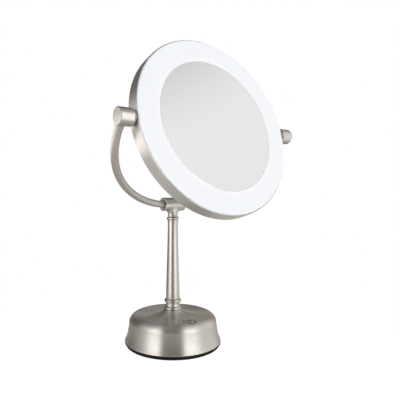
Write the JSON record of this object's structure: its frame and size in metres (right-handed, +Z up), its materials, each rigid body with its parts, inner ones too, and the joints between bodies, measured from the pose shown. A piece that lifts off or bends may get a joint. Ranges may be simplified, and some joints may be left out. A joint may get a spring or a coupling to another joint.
{
  "type": "lighted vanity mirror",
  "caption": "Round lighted vanity mirror: two-sided lit head that tilts in a half-ring yoke, which leans in a T collar on a tapered stem and weighted bell base.",
  "frame": {"origin": "centre of the rubber foot's flat underside, on the stem's axis", "axes": "+Z up along the stem; the front of the mirror, where the user sits, is -Y; the tilt axes run along X"},
  "size_m": [0.2848, 0.2104, 0.4296],
  "materials": {
    "nickel": "satin brushed nickel plate",
    "steel": "plain zinc-plated steel",
    "cast_iron": "rough cast",
    "rubber": "matt black",
    "black_plastic": "matt black",
    "white_plastic": "matt white",
    "opal_plastic": "frosted opal white, lit from behind",
    "mirror": "silvered glass",
    "circuit_board": "green solder mask",
    "battery_cell": "plain shrink sleeve",
    "lead": "soft black sheath"
  },
  "bodies": {
    "base": {"base_shell": "nickel", "ferrule": "nickel", "lower_bead_ring": "nickel", "stem_tube": "nickel", "upper_bead_ring": "nickel", "collar": "nickel", "collar_cap_right": "nickel", "collar_cap_left": "nickel", "base_plate": "steel", "base_screw_1": "steel", "base_screw_2": "steel", "base_screw_3": "steel", "base_screw_4": "steel", "tie_rod": "steel", "rod_washer": "steel", "rod_nut": "steel", "friction_screw": "steel", "ballast_weight": "cast_iron", "rubber_foot": "rubber", "battery_holder": "black_plastic", "switch_body": "black_plastic", "charge_jack": "black_plastic", "button_bezel": "black_plastic", "friction_shoe": "white_plastic", "control_board": "circuit_board", "battery_cell_1": "battery_cell", "battery_cell_2": "battery_cell", "stem_lead": "lead"},
    "power_button": {"power_button": "nickel", "switch_plunger": "white_plastic"},
    "yoke": {"yoke_axle": "steel", "arm_left": "nickel", "arm_right": "nickel", "arm_lead": "lead", "barrel_right": "nickel", "barrel_left": "nickel", "barrel_cap_right": "nickel", "barrel_cap_left": "nickel", "tilt_washer_right": "nickel", "tilt_washer_left": "nickel", "wave_washer_right": "steel", "wave_washer_left": "steel"},
    "head": {"rim_band": "nickel", "front_diffuser": "opal_plastic", "rear_diffuser": "opal_plastic", "front_mirror": "mirror", "rear_mirror": "mirror", "mirror_carrier": "white_plastic", "front_led_board": "circuit_board", "rear_led_board": "circuit_board", "trunnion_right": "steel", "trunnion_left": "steel", "trunnion_nut_right": "steel", "trunnion_nut_left": "steel", "head_lead": "lead"}
  },
  "joints": [
    {"name": "yoke_lean", "type": "hinge", "parent": "base", "child": "yoke", "pos_m": [0, 0, 0.2107], "axis": [1, 0, 0], "range_deg": [-93, 7]},
    {"name": "head_tilt", "type": "hinge", "parent": "yoke", "child": "head", "pos_m": [0, -0.09516, 0.31133], "axis": [1, 0, 0], "range_deg": [-175, 175]},
    {"name": "button_press", "type": "slide", "parent": "base", "child": "power_button", "axis": [0, 0, -1], "range_m": [0, 0.001], "stiffness_N_per_m": 1500, "springref_m": -0.0005}
  ]
}
